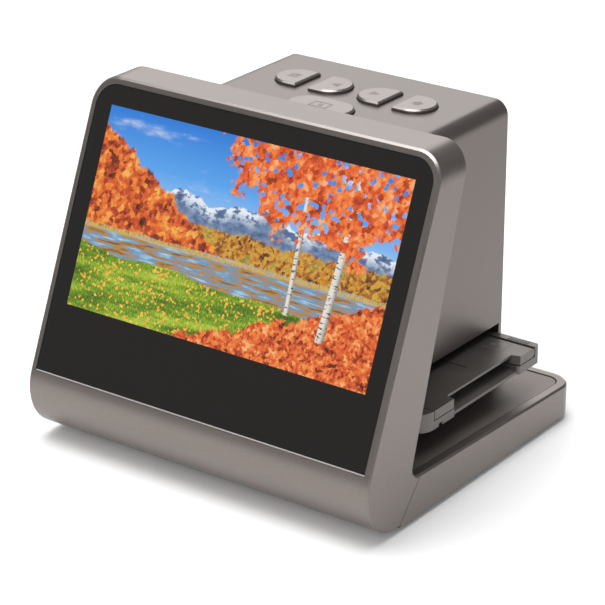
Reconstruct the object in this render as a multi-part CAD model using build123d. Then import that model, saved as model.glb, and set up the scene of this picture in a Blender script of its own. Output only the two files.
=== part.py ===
from build123d import *
import os
from math import cos, radians, sin, tan

os.makedirs("parts", exist_ok=True)

# Desktop scanner for film negatives: a large screen in a housing that leans back, a tower
# behind it with the lamp and the camera, a wide base, and a film holder that slides through
# a slot in the tower. Millimetres, +Z up, +X to the viewer's right, the screen looks to -Y.
# The origin is on the table, under the middle of the box round the scanner.

# ---- overall ---------------------------------------------------------------------------
width = 127.0
depth = 115.8
height = 109.9
floor_gap = 1.8
wall = 2.4
edge_bevel = 0.6

# ---- screen housing --------------------------------------------------------------------
face_tilt = 22.64
back_tilt = 16.53
top_depth = 13.25
lip_radius = 15.7
top_corner_radius = 9.0
notch_radius = 3.2
notch_margin = 0.3
part_line_run = 0.5

# ---- screen ----------------------------------------------------------------------------
glass_border = 2.2
glass_low_slope = 25.9
glass_thickness = 1.1
glass_recess = 0.2
glass_gap = 0.1
glass_corner_radius = 7.2
picture_side_margin = 5.95
picture_top_margin = 6.4
picture_shape = 16 / 9
lcd_border = 2.6
lcd_thickness = 3.2
lcd_gap = 0.3
bracket_thickness = 0.8
bracket_border = 6.0
standoff_height = 2.6
standoff_side = 4.0
board_thickness = 1.6
main_board_width = 84.0
main_board_height = 46.0

# ---- back cover of the screen housing --------------------------------------------------
cover_border = 3.2
cover_gap = 0.15
cover_ledge = 2.0
cover_ledge_thickness = 1.4
cable_window_margin = 5.0

# ---- base ------------------------------------------------------------------------------
deck_front_height = 14.7
deck_slope = 1.8
base_corner_radius = 8.0
panel_border = 3.1
panel_groove = 0.4
panel_sink = 0.25
panel_thickness = 1.7
panel_ledge = 1.6
cover_thickness = 2.0
bottom_gap = 0.3
foot_radius = 5.5
foot_inset_x = 13.0
foot_inset_y = 11.0
screw_inset_x = 12.0
screw_inset_y = 22.0
screw_head_radius = 2.6
screw_head_height = 1.2
screw_radius = 1.25
screw_length = 6.5
screw_gap = 0.05
boss_side = 6.4

# ---- tower -----------------------------------------------------------------------------
tower_width = 84.0
tower_drop = 6.8
tower_rear_inset = 10.2
tower_side_radius = 5.0
tower_rear_bevel = 0.9
slot_column = 2.4
slot_height = 9.3
rail_width = 2.0
rail_height = 2.4

# ---- film holder -----------------------------------------------------------------------
holder_length = 114.8
holder_depth = 66.0
holder_height = 6.0
holder_bottom = 21.0
holder_corner_radius = 6.0
holder_rear_corner_radius = 1.5
holder_run_gap = 0.2
holder_side_gap = 0.3
front_rail = 6.3
rear_rail = 2.8
lid_gap = 0.3
lid_thickness = 3.0
film_from_rear = 30.25
film_channel_width = 35.4
film_channel_depth = 0.6
gate_long = 36.5
gate_short = 24.5
mouth_width = 36.0
mouth_flare = 1.05
mouth_depth = 3.0
mouth_floor_depth = 0.8
mouth_taper = 8.0
mouth_plate = 0.8
mouth_lip = 1.0
guide_from_front = 8.85
guide_width = 2.0
guide_depth = 1.0
guide_gap = 0.2
knuckle_place = 30.0
knuckle_width = 6.0
knuckle_gap = 0.35
pin_radius = 0.6
pin_reach = 3.0
pin_press_gap = 0.01
pin_run_gap = 0.05
mark_depth = 0.3
mark_inset = 9.0
mark_length = 16.0
mark_width = 5.0

# ---- lamp and camera -------------------------------------------------------------------
inner_gap = 0.25
lamp_window_long = 41.0
lamp_window_short = 29.0
lamp_wall = 2.0
diffuser_border = 2.5
diffuser_thickness = 1.5
led_board_length = 52.0
led_board_depth = 40.0
led_board_thickness = 1.2
led_size = 3.0
led_height = 0.8
led_columns = 5
led_rows = 3
led_pitch = 8.5
gate_plate_thickness = 2.0
hood_wall = 1.2
barrel_below_bracket = 4.8
lens_radius = 7.0
barrel_wall = 2.6
barrel_length = 17.0
barrel_flange = 2.2
lens_edge = 1.6
lens_bevel = 0.5
lens_seat = 2.0
bracket_height = 64.8
bracket_depth = 40.0
sensor_board_side = 30.0

# ---- buttons ---------------------------------------------------------------------------
button_proud = 1.2
button_travel = 0.8
button_gap = 0.25
button_round = 0.5
flange_reach = 0.6
flange_thickness = 1.2
key_depth = 13.7
key_width = 10.9
key_pair_gap = 4.95
key_pair_place = 15.5
key_row_from_rear = 21.8
scan_key_length = 22.2
scan_key_depth = 13.1
scan_key_from_rear = 40.15
stem_side = 3.2
switch_size = 6.0
switch_height = 2.5
switch_button_side = 3.0
switch_clearance = 0.1
switch_button_height = 0.9
button_board_drop = 6.0
post_side = 4.4
board_margin = 3.0

# ---- sockets ---------------------------------------------------------------------------
socket_height = 45.8
socket_gap = 0.25
socket_wall = 0.4
usb_width = 9.0
usb_height = 3.2
hdmi_width = 11.4
hdmi_height = 3.4
card_width = 25.0
card_height = 2.8
socket_pitch = 22.0
socket_sink = 0.3
socket_board_offset = 3.4
socket_board_height = 20.0

# ---- worked out from the sizes above ---------------------------------------------------
half_width = width / 2
rear_y = depth / 2
lip_y = lip_radius - depth / 2
lip_z = floor_gap + lip_radius
face_sin = sin(radians(face_tilt))
face_cos = cos(radians(face_tilt))
face_slope = tan(radians(face_tilt))
back_slope = tan(radians(back_tilt))
back_cos = cos(radians(back_tilt))
back_sin = sin(radians(back_tilt))
face_foot_y = lip_y - (lip_radius + lip_z * face_sin) / face_cos
top_front_y = face_foot_y + height * face_slope
top_back_y = top_front_y + top_depth
back_foot_y = top_back_y - height * back_slope
notch_y = back_foot_y + deck_front_height * back_slope
notch_tangent = notch_radius / tan(radians((90 - back_tilt) / 2))
notch_flat = edge_bevel + notch_margin
part_line_foot_y = lip_y + part_line_run
part_line_head_y = notch_y + notch_tangent + notch_flat
deck_fall = tan(radians(deck_slope))

glass_half = half_width - glass_border
glass_high_slope = height / face_cos - glass_border
picture_width = 2 * (glass_half - picture_side_margin)
picture_height = picture_width / picture_shape
picture_low_slope = glass_high_slope - picture_top_margin - picture_height

tower_half = tower_width / 2
tower_height = height - tower_drop
tower_rear_y = rear_y - tower_rear_inset
tower_inner_half = tower_half - wall
tower_inner_rear_y = tower_rear_y - wall
tower_inner_top = tower_height - wall
slot_rear_y = tower_rear_y - slot_column
holder_rear_y = slot_rear_y - holder_side_gap
holder_front_y = holder_rear_y - holder_depth
slot_front_y = holder_front_y - holder_side_gap
slot_bottom = holder_bottom - holder_run_gap
slot_top = slot_bottom + slot_height
holder_top = holder_bottom + holder_height
film_y = holder_rear_y - film_from_rear
lid_front_y = holder_front_y + front_rail
lid_rear_y = holder_rear_y - rear_rail
lid_bottom = holder_top - lid_thickness
holder_floor_top = lid_bottom - lid_gap
hinge_radius = lid_thickness / 2
hinge_y = lid_rear_y - lid_gap - hinge_radius
hinge_z = holder_top - hinge_radius
gate_top = slot_top + gate_plate_thickness
button_top = tower_height + button_proud
key_row_y = tower_rear_y - key_row_from_rear
scan_key_y = tower_rear_y - scan_key_from_rear
flange_top = tower_inner_top - switch_clearance
button_board_top = tower_inner_top - button_board_drop
switch_top = button_board_top + switch_height + switch_button_height
stem_bottom = switch_top + button_travel + switch_clearance
lcd_low_slope = picture_low_slope - lcd_border
lcd_high_slope = picture_low_slope + picture_height + lcd_border
lcd_half = picture_width / 2 + lcd_border
glass_back = glass_recess + glass_thickness
lcd_back = glass_back + lcd_thickness
bracket_back = lcd_back + bracket_thickness
board_front = bracket_back + standoff_height
barrel_radius = lens_radius + barrel_wall
barrel_bottom = bracket_height - barrel_below_bracket
hood_top = barrel_bottom - hood_wall

face_plane = Plane(
    origin=(0, face_foot_y, 0), x_dir=(1, 0, 0), z_dir=(0, -face_cos, face_sin)
)
back_plane = Plane(
    origin=(0, back_foot_y, 0), x_dir=(-1, 0, 0), z_dir=(0, back_cos, -back_sin)
)
deck_plane = Plane(
    origin=(0, part_line_head_y, deck_front_height),
    x_dir=(1, 0, 0),
    z_dir=(0, sin(radians(deck_slope)), cos(radians(deck_slope))),
)


# ---- helpers ---------------------------------------------------------------------------
def block(x0, x1, y0, y1, z0, z1):
    """A box between two corners."""
    middle = Pos((x0 + x1) / 2, (y0 + y1) / 2, (z0 + z1) / 2)
    return middle * Box(x1 - x0, y1 - y0, z1 - z0)


def rectangle(x0, x1, y0, y1):
    """A flat rectangle between two corners."""
    return Pos((x0 + x1) / 2, (y0 + y1) / 2) * Rectangle(x1 - x0, y1 - y0)


def slab_on(plane, outline, near, far):
    """An outline on a plane made solid between two depths behind that plane."""
    return extrude(plane.offset(-near) * outline, amount=-(far - near))


def beyond(plane):
    """Everything on the outer side of a plane, as far as the scanner reaches."""
    reach = 3 * width
    return extrude(plane * Rectangle(reach, reach), amount=reach)


def column(x, y, z0, z1, radius):
    """An upright round post."""
    return Pos(x, y, (z0 + z1) / 2) * Cylinder(radius, z1 - z0)


def square_post(x, y, z0, z1, side):
    """An upright square post."""
    return block(x - side / 2, x + side / 2, y - side / 2, y + side / 2, z0, z1)


def rod(x0, x1, y, z, radius):
    """A round bar along X."""
    bar = Cylinder(radius, x1 - x0, rotation=(0, 90, 0))
    return Pos((x0 + x1) / 2, y, z) * bar


def arched(outline, radius):
    """A flat outline with its two upper corners rounded."""
    return fillet(outline.vertices().group_by(Axis.Y)[-1], radius)


def group(pieces):
    """Separate solids kept in one node."""
    return Compound(children=list(pieces))


# ---- screen housing --------------------------------------------------------------------
def screen_housing_outline():
    """Side view: leaning face, round lip, parting line to the base, notch and back."""
    front_corner_y = face_foot_y + floor_gap * face_slope
    corners = [
        (front_corner_y, floor_gap),
        (part_line_foot_y, floor_gap),
        (part_line_head_y, deck_front_height),
        (notch_y, deck_front_height),
        (top_back_y, height),
        (top_front_y, height),
    ]
    outline = make_face(Polyline(*corners, close=True))
    front = outline.vertices().sort_by(Axis.X)[0]
    outline = fillet(front, lip_radius)
    notch = outline.vertices().sort_by_distance((notch_y, deck_front_height))[0]
    return fillet(notch, notch_radius)


def screen_housing_block(outline, half, corner):
    """The side view drawn out across the scanner, with its two top corners rounded."""
    solid = extrude(Plane.YZ * outline, amount=half, both=True)
    top_edges = solid.edges().filter_by(Axis.Y).group_by(Axis.Z)[-1]
    return fillet(top_edges, corner)


def glass_outline(gap):
    """Cover glass seen square on: round upper corners, straight lower edge."""
    half = glass_half + gap
    high = glass_high_slope + gap
    return arched(rectangle(-half, half, glass_low_slope - gap, high), glass_corner_radius + gap)


def lcd_outline(gap):
    """Outline of the display behind the glass."""
    return rectangle(-lcd_half - gap, lcd_half + gap, lcd_low_slope - gap, lcd_high_slope + gap)


def cover_outline(gap):
    """Outline of the back cover, as far inside the housing's edge as the border."""
    half = half_width - cover_border + gap
    low = (deck_front_height / back_cos) + notch_tangent + cover_border / 2 - gap
    high = height / back_cos - cover_border + gap
    return arched(rectangle(-half, half, low, high), top_corner_radius - cover_border + gap)


def cable_window_outline():
    """The way through the back cover into the tower."""
    half = tower_inner_half - cable_window_margin
    low = slot_top / back_cos + cable_window_margin
    high = tower_inner_top / back_cos - cable_window_margin
    return rectangle(-half, half, low, high)


def make_screen_housing():
    outer_outline = screen_housing_outline()
    shell = screen_housing_block(outer_outline, half_width, top_corner_radius)
    rim = [e for e in shell.edges() if is_rim_edge(e)]
    shell = chamfer(rim, edge_bevel)
    inner_outline = offset(outer_outline, amount=-wall)
    shell -= screen_housing_block(inner_outline, half_width - wall, top_corner_radius - wall)
    ledge_back = wall + cover_ledge_thickness
    ledge_area = rectangle(
        -half_width + wall / 2, half_width - wall / 2, lip_z, height / back_cos - wall / 2
    )
    shell += slab_on(back_plane, arched(ledge_area, top_corner_radius - wall / 2), wall, ledge_back)
    shell -= slab_on(back_plane, cover_outline(cover_gap), 0, wall)
    shell -= slab_on(back_plane, offset(cover_outline(0), -cover_ledge), 0, ledge_back)
    shell -= slab_on(face_plane, glass_outline(glass_gap), 0, glass_back)
    shell -= slab_on(face_plane, lcd_outline(lcd_gap), 0, wall)
    return shell


def is_rim_edge(edge):
    """Whether an edge starts a rim that is bevelled: face or back meeting the sides."""
    middle = edge @ 0.5
    at_side = abs(abs(middle.X) - half_width) < 0.01
    high = middle.Z > height / 3
    return at_side and high and edge.length > height / 2


def make_screen_glass():
    return slab_on(face_plane, glass_outline(0), glass_recess, glass_back)


def make_lcd_panel():
    return slab_on(face_plane, lcd_outline(0), glass_back, lcd_back)


def board_corners(half_x, low, high, inset):
    """The four fixing points of a board, as far in from its corners as the inset."""
    return [
        (side * (half_x - inset), level)
        for side in (-1, 1)
        for level in (low + inset, high - inset)
    ]


def main_board_span():
    """The main board's lower and upper edge, up the slope of the face."""
    middle = (lcd_low_slope + lcd_high_slope) / 2
    return middle - main_board_height / 2, middle + main_board_height / 2


def make_lcd_bracket():
    """Pressed frame behind the display, with the standoffs that carry the main board."""
    frame = lcd_outline(0) - offset(lcd_outline(0), -bracket_border)
    low, high = main_board_span()
    for bar_slope in (low + board_margin, high - board_margin):
        frame += Pos(0, bar_slope) * Rectangle(2 * lcd_half - bracket_border, bracket_border)
    bracket = slab_on(face_plane, frame, lcd_back, bracket_back)
    posts = [
        Pos(x, s) * Rectangle(standoff_side, standoff_side)
        for x, s in board_corners(main_board_width / 2, low, high, board_margin)
    ]
    for post in posts:
        bracket += slab_on(face_plane, post, bracket_back, board_front)
    return bracket


def make_main_board():
    low, high = main_board_span()
    half = main_board_width / 2
    board = slab_on(
        face_plane, rectangle(-half, half, low, high), board_front, board_front + board_thickness
    )
    chip_side = board_thickness * 8
    chip = Pos(-half / 3, (low + high) / 2) * Rectangle(chip_side, chip_side)
    back = board_front + board_thickness
    board += slab_on(face_plane, chip, back, back + board_thickness)
    memory = Pos(half / 3, (low + high) / 2) * Rectangle(chip_side / 2, chip_side)
    board += slab_on(face_plane, memory, back, back + board_thickness / 2)
    return board


def make_screen_back_cover():
    cover = slab_on(back_plane, cover_outline(0), 0, wall)
    cover -= slab_on(back_plane, cable_window_outline(), 0, wall)
    return cover


# ---- base ------------------------------------------------------------------------------
def deck_height(y):
    """Height of the base's top at a place along Y."""
    return deck_front_height - (y - part_line_head_y) * deck_fall


def base_outline():
    """Side view of the base: parting line, falling top and upright back."""
    corners = [
        (part_line_foot_y, floor_gap),
        (part_line_head_y, deck_front_height),
        (rear_y, deck_height(rear_y)),
        (rear_y, floor_gap),
    ]
    return make_face(Polyline(*corners, close=True))


def panel_outline(inset, corner):
    """The sunk panel on the base's top, drawn on the deck plane."""
    half = half_width - inset
    rear = (rear_y - part_line_head_y) / cos(radians(deck_slope)) - inset
    front = inset - panel_border
    return arched(rectangle(-half, half, front, rear), corner)


def bottom_cover_outline(gap):
    """The opening under the base and the cover in it."""
    half = half_width - wall - gap
    front = part_line_foot_y + 2 * wall + gap
    return arched(rectangle(-half, half, front, rear_y - wall - gap), base_corner_radius - wall)


def make_base_housing():
    shell = extrude(Plane.YZ * base_outline(), amount=half_width, both=True)
    upright = shell.edges().filter_by(Axis.Z).group_by(Axis.Y)[-1]
    shell = fillet(upright, base_corner_radius)
    deck = shell.faces().sort_by(Axis.Z)[-1]
    rim = [e for e in deck.edges() if (e @ 0.5).Y > part_line_head_y + edge_bevel]
    shell = chamfer(rim, edge_bevel)
    cavity = extrude(Plane.YZ * offset(base_outline(), -wall), amount=half_width - wall, both=True)
    upright = cavity.edges().filter_by(Axis.Z).group_by(Axis.Y)[-1]
    shell -= fillet(upright, base_corner_radius - wall)
    shell -= extrude(bottom_cover_outline(0), amount=floor_gap + wall)
    corner = base_corner_radius - panel_border
    shell -= slab_on(deck_plane, panel_outline(panel_border, corner), 0, panel_thickness + panel_sink)
    inner = panel_outline(panel_border + panel_ledge, corner - panel_ledge)
    shell -= slab_on(deck_plane, inner, 0, 2 * wall)
    return shell


def base_corner_points(inset_x, inset_y):
    """Four points under the base, as far in from its edges as the insets."""
    return [
        (side * (half_width - inset_x), y)
        for side in (-1, 1)
        for y in (part_line_foot_y + inset_y, rear_y - inset_y)
    ]


def make_base_top_panel():
    inset = panel_border + panel_groove
    outline = panel_outline(inset, base_corner_radius - inset)
    panel = slab_on(deck_plane, outline, panel_sink, panel_sink + panel_thickness)
    boss_bottom = floor_gap + cover_thickness
    for x, y in base_corner_points(screw_inset_x, screw_inset_y):
        panel += square_post(x, y, boss_bottom, deck_height(y) - panel_thickness, boss_side)
        hole_top = boss_bottom + screw_length
        panel -= column(x, y, boss_bottom, hole_top, screw_radius + screw_gap)
    return panel


def make_bottom_cover():
    cover = Pos(0, 0, floor_gap) * extrude(bottom_cover_outline(bottom_gap), amount=cover_thickness)
    for x, y in base_corner_points(screw_inset_x, screw_inset_y):
        cover -= column(x, y, floor_gap, floor_gap + cover_thickness, screw_radius + screw_gap)
        cover -= column(x, y, floor_gap, floor_gap + screw_head_height, screw_head_radius + bottom_gap)
    return cover


def make_rubber_feet():
    return group(
        column(x, y, 0, floor_gap, foot_radius)
        for x, y in base_corner_points(foot_inset_x, foot_inset_y)
    )


def make_base_screws():
    screws = []
    for x, y in base_corner_points(screw_inset_x, screw_inset_y):
        shank_bottom = floor_gap + screw_head_height
        head = column(x, y, floor_gap, shank_bottom, screw_head_radius)
        screws.append(head + column(x, y, shank_bottom, floor_gap + screw_length, screw_radius))
    return group(screws)


# ---- tower -----------------------------------------------------------------------------
def make_tower_shell():
    outer = block(-tower_half, tower_half, lip_y, tower_rear_y, 0, tower_height)
    outer = fillet(outer.edges().filter_by(Axis.Y).group_by(Axis.Z)[-1], tower_side_radius)
    rear = outer.faces().sort_by(Axis.Y)[-1]
    rear_edges = [e for e in rear.edges() if (e @ 0.5).Z > 1]
    outer = chamfer(rear_edges, tower_rear_bevel)
    return outer - block(
        -tower_inner_half, tower_inner_half, lip_y, tower_inner_rear_y, 0, tower_inner_top
    )


def button_board_span():
    """Front and rear edge of the button board along Y."""
    front = scan_key_y - scan_key_depth / 2 - board_margin
    rear = key_row_y + key_depth / 2 + board_margin
    return front, rear


def button_board_half():
    return 2 * (key_pair_place + board_margin)


def make_tower_fittings():
    """Rails and posts inside the tower that carry the gate, the camera and the boards."""
    fittings = []
    for side in (-1, 1):
        outer_x = side * (tower_inner_half + wall / 2)
        inner_x = side * (tower_inner_half - rail_width)
        x0, x1 = sorted((outer_x, inner_x))
        low = bracket_height - rail_height
        fittings.append(
            block(x0, x1, film_y - bracket_depth / 2, film_y + bracket_depth / 2, low, bracket_height)
        )
        fittings.append(
            block(x0, x1, slot_front_y, tower_inner_rear_y, gate_top, gate_top + rail_height)
        )
    front, rear = button_board_span()
    for x, y in board_corners(button_board_half(), front, rear, board_margin):
        fittings.append(square_post(x, y, button_board_top, tower_inner_top + wall / 2, post_side))
    board_rear = tower_inner_rear_y - socket_board_offset
    low = socket_height - socket_board_height / 2
    high = socket_height + socket_board_height / 2
    for x, z in board_corners(tower_inner_half - board_margin, low, high, board_margin):
        reach = post_side / 2
        wall_y = tower_inner_rear_y + wall / 2
        fittings.append(block(x - reach, x + reach, board_rear, wall_y, z - reach, z + reach))
    return fittings


def make_tower():
    """Upper and lower part of the tower, which meet level with the top of the slot."""
    tower = make_tower_shell()
    for fitting in make_tower_fittings():
        tower += fitting
    tower -= beyond(Plane(back_plane.origin, back_plane.x_dir, -back_plane.z_dir))
    tower -= extrude(Plane.YZ * screen_housing_outline(), amount=half_width, both=True)
    tower -= beyond(Plane(deck_plane.origin, deck_plane.x_dir, -deck_plane.z_dir).offset(panel_sink))
    reach = tower_half + wall
    tower -= block(-reach, reach, lip_y, part_line_head_y, 0, deck_front_height)
    tower -= block(-reach, reach, slot_front_y, slot_rear_y, slot_bottom, slot_top)
    for outline in button_outlines().values():
        hole = offset(outline, button_gap)
        tower -= Pos(0, 0, tower_inner_top) * extrude(hole, amount=wall)
    for x, z, outline in socket_outlines():
        opening = offset(outline, socket_gap)
        tower -= extrude(Plane.XZ.offset(-tower_inner_rear_y) * Pos(x, z) * opening, amount=-wall)
    above = block(-reach, reach, lip_y, rear_y, slot_top, height)
    return tower & above, tower - above


# ---- buttons ---------------------------------------------------------------------------
def key_outline(side):
    """A key with one half-round end, which points to the given side."""
    radius = key_depth / 2
    straight = key_width - radius
    body = Pos(side * straight / 2, 0) * Rectangle(straight, key_depth)
    end = Pos(side * straight, 0) * Circle(radius)
    return body + (end & Pos(side * (straight + radius / 2), 0) * Rectangle(radius, key_depth))


def button_outlines():
    """Outline of each button on the tower's top, by name."""
    outlines = {}
    names = ("menu_button", "left_button", "right_button", "home_button")
    places = [(pair, side) for pair in (-1, 1) for side in (-1, 1)]
    for name, (pair, side) in zip(names, places):
        flat_x = pair * key_pair_place + side * key_pair_gap / 2
        outlines[name] = Pos(flat_x, key_row_y) * key_outline(side)
    pill = SlotOverall(scan_key_length, scan_key_depth)
    outlines["scan_button"] = Pos(0, scan_key_y) * pill
    return outlines


def make_button(outline):
    """Cap, captive flange under the tower's top and the stem that works the switch."""
    cap = Pos(0, 0, flange_top) * extrude(outline, amount=button_top - flange_top)
    rim = cap.faces().sort_by(Axis.Z)[-1].edges()
    cap = chamfer(rim, button_round)
    middle = outline.center(CenterOf.BOUNDING_BOX)
    size = outline.bounding_box().size
    flange = Rectangle(size.X + 2 * flange_reach, size.Y + 2 * flange_reach)
    flange_place = Pos(middle.X, middle.Y, flange_top - flange_thickness)
    cap += flange_place * extrude(flange, amount=flange_thickness)
    return cap + square_post(middle.X, middle.Y, stem_bottom, flange_top, stem_side)


def make_button_board():
    front, rear = button_board_span()
    half = button_board_half()
    return block(-half, half, front, rear, button_board_top - board_thickness, button_board_top)


def make_tact_switches():
    switches = []
    for outline in button_outlines().values():
        middle = outline.center(CenterOf.BOUNDING_BOX)
        top = button_board_top + switch_height
        body = square_post(middle.X, middle.Y, button_board_top, top, switch_size)
        switches.append(body + square_post(middle.X, middle.Y, top, switch_top, switch_button_side))
    return group(switches)


# ---- sockets in the tower's back -------------------------------------------------------
def socket_outlines():
    """Place and outer outline of each socket: usb, video and card."""
    usb = SlotOverall(usb_width, usb_height)
    hdmi = Polyline(
        (-hdmi_width / 2, hdmi_height / 2),
        (hdmi_width / 2, hdmi_height / 2),
        (hdmi_width / 2, 0),
        (hdmi_width / 2 - hdmi_height / 3, -hdmi_height / 2),
        (hdmi_height / 3 - hdmi_width / 2, -hdmi_height / 2),
        (-hdmi_width / 2, 0),
        close=True,
    )
    card = Rectangle(card_width, card_height)
    return [
        (-socket_pitch, socket_height, usb),
        (0, socket_height, make_face(hdmi)),
        (socket_pitch, socket_height, card),
    ]


def make_socket(index):
    """A metal shell, open at the back, with a tongue inside."""
    x, z, outline = socket_outlines()[index]
    board_rear = tower_inner_rear_y - socket_board_offset
    mouth = tower_rear_y - socket_sink
    length = mouth - board_rear
    place = Plane.XZ.offset(-board_rear) * Pos(x, z)
    shell = extrude(place * outline, amount=-length)
    hollow = extrude(place * offset(outline, -socket_wall), amount=-length)
    floor = extrude(place * offset(outline, -socket_wall), amount=-length / 4)
    size = outline.bounding_box().size
    tongue = extrude(place * Rectangle(size.X * 0.7, size.Y * 0.25), amount=-length * 0.8)
    return shell - hollow + floor + tongue


def make_socket_board():
    rear = tower_inner_rear_y - socket_board_offset
    half = tower_inner_half - inner_gap
    low = socket_height - socket_board_height / 2
    high = socket_height + socket_board_height / 2
    return block(-half, half, rear - board_thickness, rear, low, high)


# ---- lamp ------------------------------------------------------------------------------
def lamp_front_y():
    return slot_front_y - lamp_wall


def make_light_box():
    """Lamp housing that the holder slides over, with the rib that guides it."""
    half = tower_inner_half - inner_gap
    rear = tower_inner_rear_y - inner_gap
    front = lamp_front_y()
    box = block(-half, half, front, rear, 0, slot_bottom)
    box -= block(
        -half + lamp_wall, half - lamp_wall, front + lamp_wall, rear - lamp_wall, 0, slot_bottom - lamp_wall
    )
    below = Plane(deck_plane.origin, deck_plane.x_dir, -deck_plane.z_dir).offset(panel_sink)
    box -= beyond(below)
    long, short = lamp_window_long / 2, lamp_window_short / 2
    box -= block(-long, long, film_y - short, film_y + short, slot_bottom - lamp_wall, slot_bottom)
    rib_y = holder_front_y + guide_from_front + guide_width / 2
    rib_half = guide_width / 2 - guide_gap
    rib_top = slot_bottom + guide_depth
    return box + block(-half, half, rib_y - rib_half, rib_y + rib_half, slot_bottom - lamp_wall, rib_top)


def make_diffuser():
    long = lamp_window_long / 2 + diffuser_border
    short = lamp_window_short / 2 + diffuser_border
    top = slot_bottom - lamp_wall
    return block(-long, long, film_y - short, film_y + short, top - diffuser_thickness, top)


def make_led_board():
    """Board on the base's top panel with a grid of lamps."""
    along = (film_y - part_line_head_y) / cos(radians(deck_slope))
    board = Pos(0, along) * Rectangle(led_board_length, led_board_depth)
    top = panel_sink - led_board_thickness
    piece = slab_on(deck_plane, board, top, panel_sink)
    grid = GridLocations(led_pitch, led_pitch, led_columns, led_rows)
    leds = Sketch() + [Pos(0, along) * spot * Rectangle(led_size, led_size) for spot in grid]
    return piece + slab_on(deck_plane, leds, top - led_height, top)


# ---- camera ----------------------------------------------------------------------------
def make_gate_plate():
    half = tower_inner_half - inner_gap
    plate = block(-half, half, slot_front_y, tower_inner_rear_y - inner_gap, slot_top, gate_top)
    long, short = lamp_window_long / 2, lamp_window_short / 2
    return plate - block(-long, long, film_y - short, film_y + short, slot_top, gate_top)


def make_lens_hood():
    """Dark funnel with four flat sides from the film gate up to the lens."""
    return funnel(hood_wall) - funnel(0)


def funnel(grow):
    """The funnel's solid: what a front view and a side view, each tapered, have in common."""
    front_view = taper_view(lamp_window_long / 2 + grow, lens_radius + grow)
    side_view = taper_view(lamp_window_short / 2 + grow, lens_radius + grow)
    across = extrude(Plane.XZ.offset(-film_y) * front_view, amount=lamp_window_long, both=True)
    along = extrude(Plane.YZ * Pos(film_y, 0) * side_view, amount=lamp_window_long, both=True)
    return across & along


def taper_view(low_half, high_half):
    """Upright view that narrows from the film gate to the lens."""
    return make_face(Polyline(
        (-low_half, gate_top),
        (low_half, gate_top),
        (high_half, hood_top),
        (-high_half, hood_top),
        close=True,
    ))


def make_camera_bracket():
    half = tower_inner_half - inner_gap
    plate = block(
        -half,
        half,
        film_y - bracket_depth / 2,
        film_y + bracket_depth / 2,
        bracket_height,
        bracket_height + wall,
    )
    return plate - column(0, film_y, bracket_height, bracket_height + wall, barrel_radius + pin_run_gap)


def make_lens_barrel():
    """Barrel with a square flange that rests on the bracket and a stepped bore."""
    top = barrel_bottom + barrel_length
    flange_low = bracket_height + wall
    barrel = column(0, film_y, barrel_bottom, top, barrel_radius)
    barrel += square_post(
        0, film_y, flange_low, flange_low + wall, 2 * (barrel_radius + barrel_flange)
    )
    barrel -= column(0, film_y, barrel_bottom, top, lens_radius - lens_edge / 2)
    seat_top = barrel_bottom + lens_seat + lens_edge
    return barrel - column(0, film_y, barrel_bottom, seat_top, lens_radius + pin_run_gap)


def make_lens():
    """Front lens with a bevel round its lower face."""
    low = barrel_bottom + lens_seat
    lens = column(0, film_y, low, low + lens_edge, lens_radius)
    return chamfer(lens.edges().sort_by(Axis.Z)[0], lens_bevel)


def make_sensor_board():
    low = barrel_bottom + barrel_length
    half = sensor_board_side / 2
    board = block(-half, half, film_y - half, film_y + half, low, low + board_thickness)
    sensor = lens_radius - lens_edge
    reach = sensor / 2
    return board + block(-reach, reach, film_y - reach, film_y + reach, low - board_thickness / 2, low)


# ---- film holder -----------------------------------------------------------------------
def holder_outline():
    """Plan of the holder: large corners in front, small ones at the back."""
    half = holder_length / 2
    plan = rectangle(-half, half, holder_front_y, holder_rear_y)
    plan = fillet(plan.vertices().group_by(Axis.Y)[0], holder_corner_radius)
    return fillet(plan.vertices().group_by(Axis.Y)[-1], holder_rear_corner_radius)


def mouth_cuts(depth):
    """The two film mouths: a flared notch of this depth and a wedge that narrows inwards."""
    cuts = []
    half = holder_length / 2
    inner = mouth_width / 2
    outer = inner + mouth_flare
    for side in (-1, 1):
        tip = side * (half + 1)
        start = side * (half - depth)
        end = side * (half - mouth_depth - mouth_taper)
        notch = make_face(Polyline(
            (tip, film_y - outer),
            (start, film_y - inner),
            (start, film_y + inner),
            (tip, film_y + outer),
            close=True,
        ))
        cuts.append(Pos(0, 0, holder_bottom - 1) * extrude(notch, amount=holder_height + 2))
        wedge = make_face(Polyline(
            (start, holder_bottom + mouth_lip),
            (start, holder_top - mouth_plate),
            (end, lid_bottom),
            (end, holder_floor_top - film_channel_depth),
            close=True,
        ))
        place = Plane.XZ.offset(-film_y)
        cuts.append(extrude(place * wedge, amount=inner, both=True))
    return cuts


def gate_cut():
    """The picture window through the holder, one film frame large."""
    long, short = gate_long / 2, gate_short / 2
    return block(-long, long, film_y - short, film_y + short, holder_bottom, holder_top)


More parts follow.
